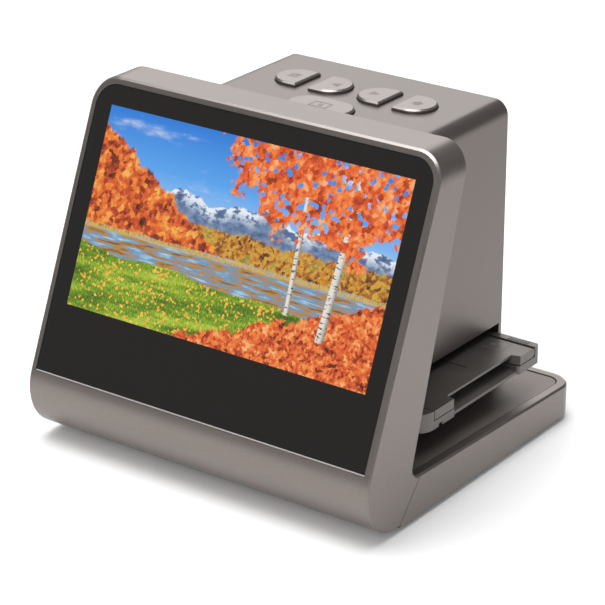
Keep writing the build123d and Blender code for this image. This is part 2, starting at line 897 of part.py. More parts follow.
def make_holder_frame():
    frame = Pos(0, 0, holder_bottom) * extrude(holder_outline(), amount=holder_height)
    half = holder_length / 2
    frame -= block(-half, half, lid_front_y, lid_rear_y, holder_floor_top, holder_top)
    channel = film_channel_width / 2
    channel_floor = holder_floor_top - film_channel_depth
    frame -= block(-half, half, film_y - channel, film_y + channel, channel_floor, holder_top)
    for x in (-knuckle_place, knuckle_place):
        low_x, high_x = x - knuckle_width / 2, x + knuckle_width / 2
        frame += block(low_x, high_x, hinge_y, lid_rear_y, holder_floor_top, hinge_z + hinge_radius / 2)
        frame += rod(low_x, high_x, hinge_y, hinge_z, hinge_radius)
        frame -= rod(low_x, high_x, hinge_y, hinge_z, pin_radius + pin_press_gap)
    frame -= gate_cut()
    for cut in mouth_cuts(mouth_floor_depth):
        frame -= cut
    groove_front = holder_front_y + guide_from_front
    groove_rear = groove_front + guide_width
    return frame - block(-half, half, groove_front, groove_rear, holder_bottom, holder_bottom + guide_depth)


def make_holder_lid():
    """Lid between the rails, round along its hinge, with two gaps for the knuckles."""
    half = holder_length / 2
    front, rear = lid_front_y + lid_gap, lid_rear_y - lid_gap
    lid = block(-half, half, front, hinge_y, lid_bottom, holder_top)
    lid += rod(-half, half, hinge_y, hinge_z, rear - hinge_y)
    for x in (-knuckle_place, knuckle_place):
        low_x = x - knuckle_width / 2 - knuckle_gap
        high_x = x + knuckle_width / 2 + knuckle_gap
        cut_front = hinge_y - hinge_radius - knuckle_gap
        lid -= block(low_x, high_x, cut_front, lid_rear_y, lid_bottom, holder_top)
        lid -= rod(low_x - pin_reach, high_x + pin_reach, hinge_y, hinge_z, pin_radius + pin_run_gap)
    lid -= gate_cut()
    for cut in mouth_cuts(mouth_depth):
        lid -= cut
    for side in (-1, 1):
        lid -= lid_mark(side)
    return lid


def lid_mark(side):
    """A shallow arrow sunk in the lid's end, pointing the way the holder goes in."""
    tip = side * (holder_length / 2 - mark_inset - mark_length)
    tail = side * (holder_length / 2 - mark_inset)
    neck = tip + side * mark_width
    arrow = make_face(Polyline(
        (tip, film_y),
        (neck, film_y + mark_width),
        (neck, film_y + mark_width / 2),
        (tail, film_y + mark_width / 2),
        (tail, film_y - mark_width / 2),
        (neck, film_y - mark_width / 2),
        (neck, film_y - mark_width),
        close=True,
    ))
    return Pos(0, 0, holder_top - mark_depth) * extrude(arrow, amount=mark_depth)


def make_hinge_pins():
    reach = knuckle_width / 2 + knuckle_gap + pin_reach - pin_run_gap
    return group(
        rod(x - reach, x + reach, hinge_y, hinge_z, pin_radius)
        for x in (-knuckle_place, knuckle_place)
    )


# ---- all nodes -------------------------------------------------------------------------
def make_nodes():
    tower_upper, tower_lower = make_tower()
    nodes = {
        "screen_housing": make_screen_housing(),
        "screen_glass": make_screen_glass(),
        "lcd_panel": make_lcd_panel(),
        "lcd_bracket": make_lcd_bracket(),
        "main_board": make_main_board(),
        "screen_back_cover": make_screen_back_cover(),
        "base_housing": make_base_housing(),
        "base_top_panel": make_base_top_panel(),
        "bottom_cover": make_bottom_cover(),
        "rubber_feet": make_rubber_feet(),
        "base_screws": make_base_screws(),
        "tower_housing": tower_upper,
        "tower_foot": tower_lower,
        "button_board": make_button_board(),
        "tact_switches": make_tact_switches(),
        "usb_socket": make_socket(0),
        "video_socket": make_socket(1),
        "card_socket": make_socket(2),
        "socket_board": make_socket_board(),
        "light_box": make_light_box(),
        "diffuser": make_diffuser(),
        "led_board": make_led_board(),
        "gate_plate": make_gate_plate(),
        "lens_hood": make_lens_hood(),
        "camera_bracket": make_camera_bracket(),
        "lens_barrel": make_lens_barrel(),
        "lens": make_lens(),
        "sensor_board": make_sensor_board(),
        "holder_frame": make_holder_frame(),
        "holder_lid": make_holder_lid(),
        "hinge_pins": make_hinge_pins(),
    }
    for name, outline in button_outlines().items():
        nodes[name] = make_button(outline)
    return nodes


for node_name, node_shape in make_nodes().items():
    export_step(node_shape, f"parts/{node_name}.step")
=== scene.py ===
# %% [markdown]
# # A film negative scanner, dressed for its portrait
# The solids come from the frame at their real size. This script gives every one of them its
# finish, adds the small pieces that belong to looks alone, and sets up a plain studio.

# %% Load the frame
from math import cos, pi, radians, sin

import bmesh
import bpy
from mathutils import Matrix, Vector


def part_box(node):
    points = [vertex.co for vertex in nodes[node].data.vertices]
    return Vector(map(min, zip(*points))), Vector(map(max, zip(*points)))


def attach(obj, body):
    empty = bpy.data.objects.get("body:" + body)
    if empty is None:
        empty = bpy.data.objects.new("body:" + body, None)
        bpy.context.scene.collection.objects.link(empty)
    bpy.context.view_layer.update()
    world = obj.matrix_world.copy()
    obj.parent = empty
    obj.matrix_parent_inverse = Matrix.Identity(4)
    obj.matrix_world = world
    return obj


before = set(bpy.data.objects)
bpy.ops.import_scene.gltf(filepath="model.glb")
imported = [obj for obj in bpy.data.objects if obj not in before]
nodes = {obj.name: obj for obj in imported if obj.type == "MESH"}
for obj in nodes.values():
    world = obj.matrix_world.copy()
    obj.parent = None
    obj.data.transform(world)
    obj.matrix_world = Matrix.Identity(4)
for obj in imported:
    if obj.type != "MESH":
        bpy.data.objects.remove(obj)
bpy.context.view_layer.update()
MM = 0.001

# %% [markdown]
# ## Camera
# The photograph's perspective gives where the camera stood: to the right of the screen, a
# little above it, with a long lens. A long lens far away keeps the box shapes calm. The
# direction is given as two angles, as on a tripod head, and the lens follows from the
# photograph's width and its focal length in pixels.

# %% Camera
TURN = radians(36.02)
LIFT = radians(23.23)
DISTANCE = 773.25 * MM
AIM = Vector((12.47, -18.79, 51.89)) * MM
SENSOR_WIDTH = 36.0
FOCAL_PIXELS = 2592.5
PHOTO_WIDTH = 605

away = Vector((sin(TURN) * cos(LIFT), -cos(TURN) * cos(LIFT), sin(LIFT)))
camera_data = bpy.data.cameras.new("photo_camera")
camera_data.sensor_width = SENSOR_WIDTH
camera_data.lens = SENSOR_WIDTH * FOCAL_PIXELS / PHOTO_WIDTH
camera_data.clip_end = 20
camera = bpy.data.objects.new("photo_camera", camera_data)
camera.location = AIM + away * DISTANCE
camera.rotation_euler = (-away).to_track_quat("-Z", "Y").to_euler()
bpy.context.collection.objects.link(camera)
bpy.context.scene.camera = camera
print("lens", round(camera_data.lens, 1), "mm at", [round(v, 3) for v in camera.location])

# %% [markdown]
# ## Shader maths
# A node socket that knows how to add and multiply makes a material readable: an expression
# on it adds the Math nodes. Every other kind of node comes from one method that takes the
# node's type, its settings and the values or links of its sockets.


# %% A socket with arithmetic
class Wire:
    """One output in a material, with operators that add Math nodes."""

    def __init__(self, paint, socket):
        self.paint = paint
        self.socket = socket

    def math(self, operation, *values):
        inputs = dict(enumerate(values))
        return self.paint.add("ShaderNodeMath", {"operation": operation}, inputs)

    def __add__(self, other):
        return self.math("ADD", self, other)

    __radd__ = __add__

    def __sub__(self, other):
        return self.math("SUBTRACT", self, other)

    def __rsub__(self, other):
        return self.math("SUBTRACT", other, self)

    def __mul__(self, other):
        return self.math("MULTIPLY", self, other)

    __rmul__ = __mul__

    def __truediv__(self, other):
        return self.math("DIVIDE", self, other)

    def above(self, other):
        return self.math("GREATER_THAN", self, other)

    def below(self, other):
        return self.math("LESS_THAN", self, other)

    def least(self, other):
        return self.math("MINIMUM", self, other)

    def most(self, other):
        return self.math("MAXIMUM", self, other)

    def size(self):
        return self.math("ABSOLUTE", self)

    def sine(self):
        return self.math("SINE", self)

    def root(self):
        return self.math("SQRT", self)

    def ease(self, low, high, start=0.0, end=1.0):
        """Smooth step from start to end as the value goes from low to high."""
        inputs = {"Value": self, "From Min": low, "From Max": high, "To Min": start, "To Max": end}
        return self.paint.add("ShaderNodeMapRange", {"interpolation_type": "SMOOTHSTEP"}, inputs)


# %% A material under construction
class Paint:
    """One material: adds nodes, links them and ends in a Principled surface."""

    def __init__(self, name):
        self.material = bpy.data.materials.new(name)
        self.material.use_nodes = True
        self.tree = self.material.node_tree
        self.tree.nodes.clear()
        self.place = self.add("ShaderNodeTexCoord", output="Object")

    def add(self, kind, settings=None, inputs=None, output=0):
        node = self.tree.nodes.new(kind)
        for key, value in (settings or {}).items():
            if key == "stops":
                self.fill_ramp(node.color_ramp, value)
            else:
                setattr(node, key, value)
        for key, value in (inputs or {}).items():
            if isinstance(value, Wire):
                self.tree.links.new(value.socket, node.inputs[key])
            else:
                node.inputs[key].default_value = value
        return Wire(self, node.outputs[output]) if node.outputs else node

    def fill_ramp(self, ramp, stops):
        while len(ramp.elements) < len(stops):
            ramp.elements.new(1.0)
        for element, (position, colour) in zip(ramp.elements, stops):
            element.position = position
            element.color = (*colour, 1.0)

    def noise(self, scale, vector=None, detail=3.0, roughness=0.55):
        inputs = {"Vector": vector or self.place, "Scale": scale, "Detail": detail}
        inputs["Roughness"] = roughness
        return self.add("ShaderNodeTexNoise", None, inputs)

    def cells(self, scale, vector=None, output="Distance"):
        inputs = {"Vector": vector or self.place, "Scale": scale}
        return self.add("ShaderNodeTexVoronoi", None, inputs, output)

    def pick(self, scale, vector=None):
        """A random level for each cell, from 0 to 1."""
        colour = self.cells(scale, vector, "Color")
        return self.add("ShaderNodeSeparateColor", None, {0: colour})

    def ramp(self, value, *stops):
        return self.add("ShaderNodeValToRGB", {"stops": stops}, {"Fac": value})

    def mix(self, mask, under, over):
        """The over colour where the mask is 1, the under colour where it is 0."""
        node_inputs = {0: mask, 6: under, 7: over}
        return self.add("ShaderNodeMix", {"data_type": "RGBA"}, node_inputs, 2)

    def axis(self, name):
        return self.add("ShaderNodeSeparateXYZ", None, {0: self.place}, name)

    def along(self, direction):
        """How far a point lies along a direction, in metres."""
        settings = {"operation": "DOT_PRODUCT"}
        return self.add("ShaderNodeVectorMath", settings, {0: self.place, 1: direction}, "Value")

    def vector(self, x, y):
        return self.add("ShaderNodeCombineXYZ", None, {0: x, 1: y})

    def bump(self, height, strength, distance):
        inputs = {"Height": height, "Strength": strength, "Distance": distance}
        return self.add("ShaderNodeBump", None, inputs)

    def finish(self, inputs):
        surface = self.add("ShaderNodeBsdfPrincipled", None, inputs)
        self.add("ShaderNodeOutputMaterial", None, {"Surface": surface})
        return self.material


def grey(level):
    return (level, level, level, 1.0)


# %% [markdown]
# ## Studio
# The object stands on a plain white floor under four broad soft lamps: one overhead, one from
# the front left, a low one that clears the shadow before the lip, and one from behind that the
# tops mirror. No lamp stands where the cover glass would mirror it. A pale world fills the
# shadows. The floor keeps the soft contact shadow, and a touch of its own light for the camera
# takes it to clean white.

# %% Floor
FLOOR_SIZE = 12.0
FLOOR_LIFT = 0.07
FLOOR_WHITE = 0.92


def seen_directly(paint):
    """1 for what the camera sees, itself or in metal and through glass."""
    ray = paint.add("ShaderNodeLightPath", output="Is Camera Ray")
    for kind in ("Is Glossy Ray", "Is Transmission Ray"):
        ray = ray.most(paint.add("ShaderNodeLightPath", output=kind))
    return ray


def make_floor():
    mesh = bpy.data.meshes.new("floor")
    half = FLOOR_SIZE / 2
    corners = [(-half, -half, 0), (half, -half, 0), (half, half, 0), (-half, half, 0)]
    mesh.from_pydata(corners, [], [(0, 1, 2, 3)])
    floor = bpy.data.objects.new("floor", mesh)
    bpy.context.collection.objects.link(floor)
    paint = Paint("floor_white")
    seen = seen_directly(paint)
    shade = paint.add("ShaderNodeBsdfDiffuse", None, {"Color": grey(FLOOR_WHITE)})
    glow = paint.add("ShaderNodeEmission", None, {"Color": grey(1.0), "Strength": seen * FLOOR_LIFT})
    both = paint.add("ShaderNodeAddShader", None, {0: shade, 1: glow})
    paint.add("ShaderNodeOutputMaterial", None, {"Surface": both})
    mesh.materials.append(paint.material)


make_floor()
print("floor", FLOOR_SIZE, "m wide")

# %% Lamps and world
LAMPS = {
    "top_lamp": ((-0.1, -0.05, 1.4), (0, 0, 0.05), 1.1, 15.0),
    "low_lamp": ((0.35, -1.3, 0.75), (0, -0.05, 0.02), 0.9, 6.0),
    "front_lamp": ((-0.35, -0.4, 1.3), (0, 0, 0.05), 1.2, 8.0),
    "rear_lamp": ((-0.9, 1.2, 0.95), (0, 0, 0.08), 1.1, 7.0),
}
WORLD_LEVEL = 0.24


def make_lamp(name, place, aim, side, power):
    data = bpy.data.lights.new(name, "AREA")
    data.size = side
    data.energy = power
    lamp = bpy.data.objects.new(name, data)
    lamp.location = place
    lamp.rotation_euler = (Vector(aim) - Vector(place)).to_track_quat("-Z", "Y").to_euler()
    bpy.context.collection.objects.link(lamp)


for lamp_name, (place, aim, side, power) in LAMPS.items():
    make_lamp(lamp_name, place, aim, side, power)

world = bpy.data.worlds.new("studio")
world.use_nodes = True
world.node_tree.nodes["Background"].inputs["Color"].default_value = grey(1.0)
world.node_tree.nodes["Background"].inputs["Strength"].default_value = WORLD_LEVEL
bpy.context.scene.world = world
bpy.context.scene.view_settings.view_transform = "Standard"
print("lamps:", ", ".join(LAMPS))

# %% [markdown]
# ## Casing paint
# The body is moulded plastic with a satin metallic paint: warm grey, with a grain of fine
# flakes that only shows close up. Flakes are tiny cells of random brightness, so a Voronoi
# pattern at about a quarter of a millimetre does it, and a slow noise gives the faint
# cloudiness of a sprayed coat. The tower's coat is a shade darker and the base's sunk panel
# flatter. The leaning housing has two extras that a mask can draw: a painted highlight on the
# bevel round the top of its face, which is also a little glossier, and the fine dark joint with the
# base.

# %% Casing paint
CASING = (0.228, 0.200, 0.186)
TOWER_CASING = (0.184, 0.160, 0.148)
KEY_CASING = (0.264, 0.233, 0.218)
HOLDER = (0.168, 0.154, 0.146)
CASING_METAL = 0.88
CASING_ROUGHNESS = 0.37
FLAKE_CELLS = 4200.0
FLAKE_CONTRAST = 0.10
FLAKE_ROUGHNESS = 0.06
GRAIN_SCALE = 2600.0
CLOUD_SCALE = 26.0


def shaded(colour, factor):
    return (*[channel * factor for channel in colour], 1.0)


def flaked_paint(name, colour, metallic, roughness, painted_highlight=None, joint=None):
    """Satin paint, with one mask for a bevel that gets a painted highlight and less roughness, and one
    for a dark joint.
    """
    paint = Paint(name)
    flake = paint.pick(FLAKE_CELLS)
    cloud = paint.noise(CLOUD_SCALE, detail=4.0)
    level = flake * 0.7 + cloud * 0.3
    dim, bright = shaded(colour, 1 - FLAKE_CONTRAST), shaded(colour, 1 + FLAKE_CONTRAST)
    coat = paint.mix(level, dim, bright)
    rough = flake * FLAKE_ROUGHNESS + (roughness - FLAKE_ROUGHNESS / 2)
    if painted_highlight:
        # Painted highlight: the masked bevel gets a brighter colour, and a lower roughness.
        edge = painted_highlight(paint)
        coat = paint.mix(edge, coat, EDGE_HIGHLIGHT)
        rough = rough - edge * BEVEL_GLOSS
    if joint:
        coat = paint.mix(joint(paint), coat, JOINT_DARK)
    grain = paint.noise(GRAIN_SCALE, detail=2.0)
    return paint.finish({
        "Base Color": coat,
        "Roughness": rough,
        "Metallic": metallic,
        "Normal": paint.bump(grain, 0.06, 0.00004),
    })


casing_paint = flaked_paint("casing_paint", CASING, CASING_METAL, CASING_ROUGHNESS)
tower_paint = flaked_paint("tower_paint", TOWER_CASING, CASING_METAL, CASING_ROUGHNESS)
deck_paint = flaked_paint("deck_paint", CASING, 0.74, 0.50)
print("casing paints:", casing_paint.name, tower_paint.name, deck_paint.name)

# %% Edges and joint of the leaning housing
FACE_TILT = radians(22.64)
EDGE_BEVEL = 0.6 * MM
# The bevel's brighter colour is a painted highlight, standing in for light caught on the edge.
EDGE_HIGHLIGHT = (0.31, 0.285, 0.27, 1.0)
BEVEL_GLOSS = 0.06
HIGHLIGHT_FROM, HIGHLIGHT_TO = 84 * MM, 98 * MM
JOINT_DARK = (0.03, 0.028, 0.027, 1.0)
JOINT_HEAD_Y = -30.49 * MM
JOINT_WIDTH = 0.3 * MM
SIDE_SKIN = 0.01 * MM

face_out = Vector((0, -cos(FACE_TILT), sin(FACE_TILT)))
side_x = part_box("screen_housing")[1][0]
base_low, base_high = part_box("base_housing")
joint_foot = Vector((0, base_low[1], base_low[2]))
joint_head = Vector((0, JOINT_HEAD_Y, base_high[2]))


def reach(name, direction):
    """How far a node reaches along a direction."""
    node = nodes[name]
    return max((node.matrix_world @ vertex.co).dot(direction) for vertex in node.data.vertices)


def between(value, low, high):
    return value.above(low) * value.below(high)


def housing_edge_highlight(paint):
    """The bevel round the upper part of the face, which carries a painted highlight."""
    depth = reach("screen_housing", face_out) - paint.along(tuple(face_out))
    rim = between(depth, EDGE_BEVEL * 0.05, EDGE_BEVEL * 0.95)
    return rim * paint.axis("Z").ease(HIGHLIGHT_FROM, HIGHLIGHT_TO)


def housing_joint(paint):
    """The fine dark line on either side where the leaning housing meets the base."""
    run = joint_head - joint_foot
    across = Vector((0, run.z, -run.y)).normalized()
    offset = paint.along(tuple(across)) - joint_foot.dot(across)
    near = offset.size().below(JOINT_WIDTH / 2) * paint.axis("Z").below(joint_head.z)
    return near * paint.axis("X").size().above(side_x - SIDE_SKIN)


housing_paint = flaked_paint(
    "housing_paint", CASING, CASING_METAL, CASING_ROUGHNESS, painted_highlight=housing_edge_highlight, joint=housing_joint
)
base_paint = flaked_paint(
    "base_paint", CASING, CASING_METAL, CASING_ROUGHNESS, joint=housing_joint
)
print("edges and joint on", housing_paint.name, "and", base_paint.name)

# %% [markdown]
# ## Moulded plastics, metals and boards
# The holder is fine-grained dark plastic with a metallic sheen. Inside, the optical parts are
# black, the boards green with faint tracks, and the pressed parts steel.


# %% Plastics and metals
TRACKS_ACROSS = 900.0
TRACKS_ALONG = 700.0
PATCH_CELLS = 160.0
STREAK_SCALE = 2400.0


def grained_plastic(name, colour, roughness, grain_scale=1500.0, depth=0.00005, metallic=0.0):
    paint = Paint(name)
    grain = paint.noise(grain_scale, detail=4.0)
    cloud = paint.noise(40.0)
    level = grain * 0.5 + cloud * 0.5
    return paint.finish({
        "Base Color": paint.mix(level, shaded(colour, 0.88), shaded(colour, 1.12)),
        "Roughness": cloud.ease(0.3, 0.7, roughness - 0.05, roughness + 0.05),
        "Metallic": metallic,
        "Normal": paint.bump(grain, 0.25, depth),
    })


def brushed_metal(name, colour, roughness):
    paint = Paint(name)
    stretched = paint.add(
        "ShaderNodeMapping", None, {"Vector": paint.place, "Scale": (0.08, 1.0, 1.0)}
    )
    streak = paint.noise(STREAK_SCALE, stretched, detail=3.0)
    return paint.finish({
        "Base Color": paint.mix(streak, shaded(colour, 0.85), shaded(colour, 1.1)),
        "Roughness": streak.ease(0.2, 0.8, roughness - 0.08, roughness + 0.08),
        "Metallic": 1.0,
        "Normal": paint.bump(streak, 0.15, 0.00002),
    })


def circuit_board(name, colour):
    """Green lacquer with pale tracks in patches."""
    paint = Paint(name)
    x, y, z = (paint.axis(letter) for letter in "XYZ")
    lines = ((x * TRACKS_ACROSS).sine() * ((y + z) * TRACKS_ALONG).sine()).ease(0.55, 0.7)
    patches = paint.cells(PATCH_CELLS).ease(0.25, 0.3)
    return paint.finish({
        "Base Color": paint.mix(lines * patches, shaded(colour, 1.0), shaded(colour, 2.2)),
        "Roughness": lines.ease(0.0, 1.0, 0.35, 0.25),
        "Coat Weight": 0.4,
    })


holder_plastic = grained_plastic("holder_plastic", HOLDER, 0.42, metallic=0.66)
dark_plastic = grained_plastic("dark_plastic", (0.018, 0.018, 0.018), 0.55)
under_plastic = grained_plastic("under_plastic", (0.035, 0.033, 0.032), 0.5, 900.0, 0.0001)
rubber = grained_plastic("rubber", (0.022, 0.021, 0.021), 0.8, 700.0, 0.0001)
opal = grained_plastic("opal", (0.86, 0.86, 0.84), 0.4, 3000.0, 0.00001)
steel = brushed_metal("steel", (0.56, 0.55, 0.53), 0.32)
board_green = circuit_board("board_green", (0.02, 0.10, 0.04))
print("finishes:", len(bpy.data.materials))

# %% [markdown]
# ## The screen
# One sheet of black glass covers the display. The lit picture is a light of its own behind
# the glass, so it is painted as emission, inside the display's rectangle only. The picture is
# a made-up autumn valley, built up like a painting: sky, far range, wooded slopes, a lake with
# ripples, a meadow with fallen leaves, bushes in front and two birches in orange leaf.
# Each layer is a colour and a mask, and a later layer covers the earlier ones.

# %% Where the picture lies
PICTURE_BORDER = 2.6 * MM
up_slope = Vector((0, sin(FACE_TILT), cos(FACE_TILT)))


def leaning_slab(name):
    """Lower left front corner, width and length up the slope of a slab along the face."""
    low, high = (Vector(corner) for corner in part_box(name))
    size = high - low
    double = cos(2 * FACE_TILT)
    length = (size.z * cos(FACE_TILT) - size.y * sin(FACE_TILT)) / double
    thickness = (size.y * cos(FACE_TILT) - size.z * sin(FACE_TILT)) / double
    return low + Vector((0, 0, thickness * sin(FACE_TILT))), size.x, length


lcd_corner, lcd_width, lcd_length = leaning_slab("lcd_panel")
glass_corner = leaning_slab("screen_glass")[0]
picture_low = lcd_corner + up_slope * PICTURE_BORDER + Vector((PICTURE_BORDER, 0, 0))
picture_height = lcd_length - 2 * PICTURE_BORDER
picture_width = lcd_width - 2 * PICTURE_BORDER
ASPECT = picture_width / picture_height
print("picture", round(picture_width / MM, 1), "x", round(picture_height / MM, 1), "mm")


# %% Layers of the picture
class Picture:
    """A painting on the display, with x from 0 to its aspect and y from 0 to 1."""

    def __init__(self, paint):
        self.paint = paint
        self.x = (paint.axis("X") - picture_low.x) / picture_height
        slope_start = picture_low.dot(up_slope)
        self.y = (paint.along(tuple(up_slope)) - slope_start) / picture_height
        self.flat = paint.vector(self.x, self.y)
        self.colour = None

    def layer(self, mask, colour):
        self.colour = self.paint.mix(mask, self.colour, colour)

    def wavy(self, scale, reach, seed):
        """A number that wanders with x alone, for ridges and shores."""
        line = self.paint.vector(self.x + seed, seed)
        return (self.paint.noise(scale, line, detail=5.0) - 0.5) * reach

    def stretched(self, wide, tall, seed=0.0):
        return self.paint.vector(self.x * wide + seed, self.y * tall + seed)


def soft_below(value, edge, softness=0.006):
    """1 where the value is under the edge, with a short soft change."""
    return (edge - value).ease(-softness, softness)


def foliage(picture, scale, seed, *stops):
    """Leaves in sun and shade: fine cells of many colours over clumps of light and dark."""
    paint = picture.paint
    spot = paint.vector(picture.x + seed, picture.y - seed)
    flutter = paint.noise(scale * 2.2, spot, detail=2.0) - 0.5
    torn = paint.vector(picture.x + seed + flutter * (0.9 / scale), picture.y - seed + flutter / scale)
    pick = paint.pick(scale, torn)
    clump = paint.noise(scale / 5, spot, detail=6.0, roughness=0.7)
    level = (pick * 0.55 + clump.ease(0.3, 0.7) * 0.55).least(1.0)
    return paint.ramp(level, *stops), pick


def paint_sky(picture):
    paint = picture.paint
    picture.colour = paint.ramp(
        picture.y, (0.45, (0.50, 0.72, 0.95)), (0.75, (0.10, 0.38, 0.88)), (1.0, (0.02, 0.20, 0.70))
    )
    wisps = paint.noise(2.0, picture.stretched(0.8, 2.4, 3.4), detail=8.0, roughness=0.62)
    picture.layer(wisps.ease(0.53, 0.74) * 0.9, (0.95, 0.97, 1.0, 1.0))


def paint_range(picture):
    """A blue range far off, with snow near its ridge."""
    paint = picture.paint
    ridge = picture.wavy(2.6, 0.34, 1.7) + 0.66
    rock = paint.noise(16.0, picture.stretched(1.0, 1.6), detail=7.0, roughness=0.65)
    colour = paint.ramp(rock, (0.35, (0.06, 0.12, 0.26)), (0.62, (0.22, 0.31, 0.48)))
    inside = soft_below(picture.y, ridge, 0.004)
    picture.layer(inside, colour)
    snow = (picture.y - ridge).ease(-0.09, -0.01) * rock.ease(0.46, 0.54)
    picture.layer(snow * inside, (0.84, 0.90, 0.98, 1.0))


def paint_woods(picture):
    """Wooded hills: a far band, and a near slope that falls from the left."""
    ridge = picture.wavy(9.0, 0.09, 4.2) + 0.545
    colour, _ = foliage(
        picture, 60.0, 2.3,
        (0.1, (0.05, 0.025, 0.01)), (0.35, (0.28, 0.10, 0.02)), (0.55, (0.62, 0.24, 0.02)),
        (0.75, (0.70, 0.42, 0.06)), (0.95, (0.22, 0.27, 0.05)),
    )
    picture.layer(soft_below(picture.y, ridge, 0.01), colour)
    climb = (picture.x - 0.9) * -0.60 + 0.38
    ridge = climb + picture.wavy(14.0, 0.14, 7.7)
    colour, _ = foliage(
        picture, 44.0, 5.1,
        (0.12, (0.05, 0.010, 0.004)), (0.35, (0.34, 0.04, 0.01)), (0.55, (0.72, 0.11, 0.02)),
        (0.75, (0.88, 0.24, 0.03)), (0.95, (0.92, 0.48, 0.10)),
    )
    picture.layer(soft_below(picture.y, ridge, 0.01), colour)


def paint_lake(picture):
    paint = picture.paint
    shore = picture.wavy(5.0, 0.035, 9.4) + 0.425
    water = soft_below(picture.y, shore, 0.004)
    ripples = paint.noise(7.0, picture.stretched(0.9, 8.0, 1.3), detail=6.0, roughness=0.6)
    colour = paint.ramp(
        ripples, (0.34, (0.16, 0.08, 0.03)), (0.45, (0.52, 0.25, 0.05)),
        (0.53, (0.14, 0.30, 0.46)), (0.68, (0.46, 0.68, 0.90)),
    )
    picture.layer(water, colour)
    reeds = paint.noise(90.0, picture.stretched(1.6, 0.22), detail=3.0)
    top = shore + picture.wavy(60.0, 0.05, 3.3)
    band = soft_below(picture.y, top, 0.004) * soft_below(shore - 0.025, picture.y, 0.008)
    picture.layer(band * reeds.ease(0.38, 0.52), (0.66, 0.45, 0.12, 1.0))


def paint_lawn(picture):
    """A meadow in front with bands of sun and shade and a few fallen leaves."""
    paint = picture.paint
    edge = picture.wavy(3.0, 0.09, 6.3) + 0.32 - picture.x * 0.05
    lawn = soft_below(picture.y, edge, 0.004)
    blades = paint.noise(150.0, picture.stretched(1.0, 0.4), detail=4.0)
    light = paint.noise(4.0, picture.stretched(0.6, 3.6, 8.8), detail=3.0)
    colour = paint.ramp(
        blades * 0.4 + light * 0.6,
        (0.36, (0.03, 0.09, 0.005)), (0.48, (0.14, 0.28, 0.01)), (0.58, (0.42, 0.56, 0.04)),
        (0.68, (0.66, 0.72, 0.12)),
    )
    picture.layer(lawn, colour)
    fallen, pick = foliage(
        picture, 90.0, 3.7,
        (0.0, (0.72, 0.12, 0.02)), (0.5, (0.92, 0.36, 0.03)), (1.0, (0.95, 0.62, 0.10)),
    )
    picture.layer(lawn * pick.above(0.86), fallen)


def paint_bush(picture):
    """Bright bushes that fill the lower right corner."""
    edge = (picture.x - 0.66) * 0.36 + picture.wavy(16.0, 0.13, 2.9)
    colour, _ = foliage(
        picture, 64.0, 1.9,
        (0.10, (0.06, 0.010, 0.004)), (0.32, (0.36, 0.04, 0.01)), (0.52, (0.76, 0.11, 0.02)),
        (0.74, (0.90, 0.24, 0.05)), (0.95, (0.96, 0.48, 0.18)),
    )
    picture.layer(soft_below(picture.y, edge, 0.008), colour)


def paint_birch(picture, foot_x, lean, half_width, foot_y):
    """A pale trunk with dark marks, slightly leaning."""
    paint = picture.paint
    middle = picture.y * lean + foot_x
    across = (picture.x - middle) / half_width
    trunk = soft_below(across.size(), 1.0, 0.12) * (picture.y - foot_y).ease(0.0, 0.01)
    marks = paint.noise(14.0, picture.stretched(2.0, 7.0, foot_x), detail=3.0).ease(0.56, 0.62)
    bark = paint.ramp(across, (0.0, (0.80, 0.77, 0.70)), (0.9, (0.30, 0.26, 0.24)))
    picture.layer(trunk, paint.mix(marks, bark, (0.05, 0.04, 0.04, 1.0)))


def paint_crown(picture):
    """Orange leaves of the birches over the sky, with gaps that show what is behind."""
    paint = picture.paint
    wander = paint.noise(5.0, picture.flat, detail=7.0, roughness=0.65) - 0.5
    reach_x = (picture.x - 1.50) / 0.78
    reach_y = (picture.y - 1.04) / 0.44
    spread = (reach_x * reach_x + reach_y * reach_y).root() + wander * 1.5
    colour, pick = foliage(
        picture, 46.0, 8.3,
        (0.12, (0.10, 0.014, 0.005)), (0.34, (0.50, 0.05, 0.01)), (0.54, (0.82, 0.12, 0.02)),
        (0.74, (0.92, 0.24, 0.05)), (0.95, (0.98, 0.46, 0.20)),
    )
    picture.layer(soft_below(spread, 1.0, 0.03) * pick.above(0.16), colour)


# %% Black glass with the lit picture
GLASS_BLACK = (0.016, 0.015, 0.0145, 1.0)
# The pale colour along the glass's lower edge is a painted highlight, for light the edge catches.
GLASS_HIGHLIGHT = (0.72, 0.70, 0.68, 1.0)
GLASS_HIGHLIGHT_WIDTH = 0.38 * MM
PICTURE_LIGHT = 0.92


def screen_glass_material():
    paint = Paint("screen_glass")
    picture = Picture(paint)
    paint_sky(picture)
    paint_range(picture)
    paint_woods(picture)
    paint_lake(picture)
    paint_lawn(picture)
    paint_bush(picture)
    paint_birch(picture, 1.46, 0.06, 0.022, 0.16)
    paint_birch(picture, 1.27, -0.04, 0.013, 0.24)
    paint_crown(picture)
    inside_x = picture.x.above(0.0) * picture.x.below(ASPECT)
    inside_y = picture.y.above(0.0) * picture.y.below(1.0)
    lit = paint.mix(inside_x * inside_y, grey(0.0), picture.colour)
    smear = paint.noise(18.0, detail=5.0)
    # A thin pale band along the lower edge of the glass: painted highlight.
    up = paint.along(tuple(up_slope)) - glass_corner.dot(up_slope)
    edge = up.below(GLASS_HIGHLIGHT_WIDTH)
    return paint.finish({
        "Base Color": paint.mix(edge, GLASS_BLACK, GLASS_HIGHLIGHT),
        "Roughness": smear.ease(0.3, 0.7, 0.05, 0.09) + edge * 0.25,
        "Metallic": edge * 0.6,
        "Specular IOR Level": 0.25,
        "Emission Color": lit,
        "Emission Strength": PICTURE_LIGHT,
    })


glass_material = screen_glass_material()
print("screen picture nodes:", len(glass_material.node_tree.nodes))

# %% [markdown]
# ## Keys and lens
# The key caps have a paler coat than the body, with the same painted highlight on the bevel round
# the top. The lens is dark coated glass.

# %% Key paint
KEY_BEVEL = 0.5 * MM
KEY_ROUGHNESS = 0.33


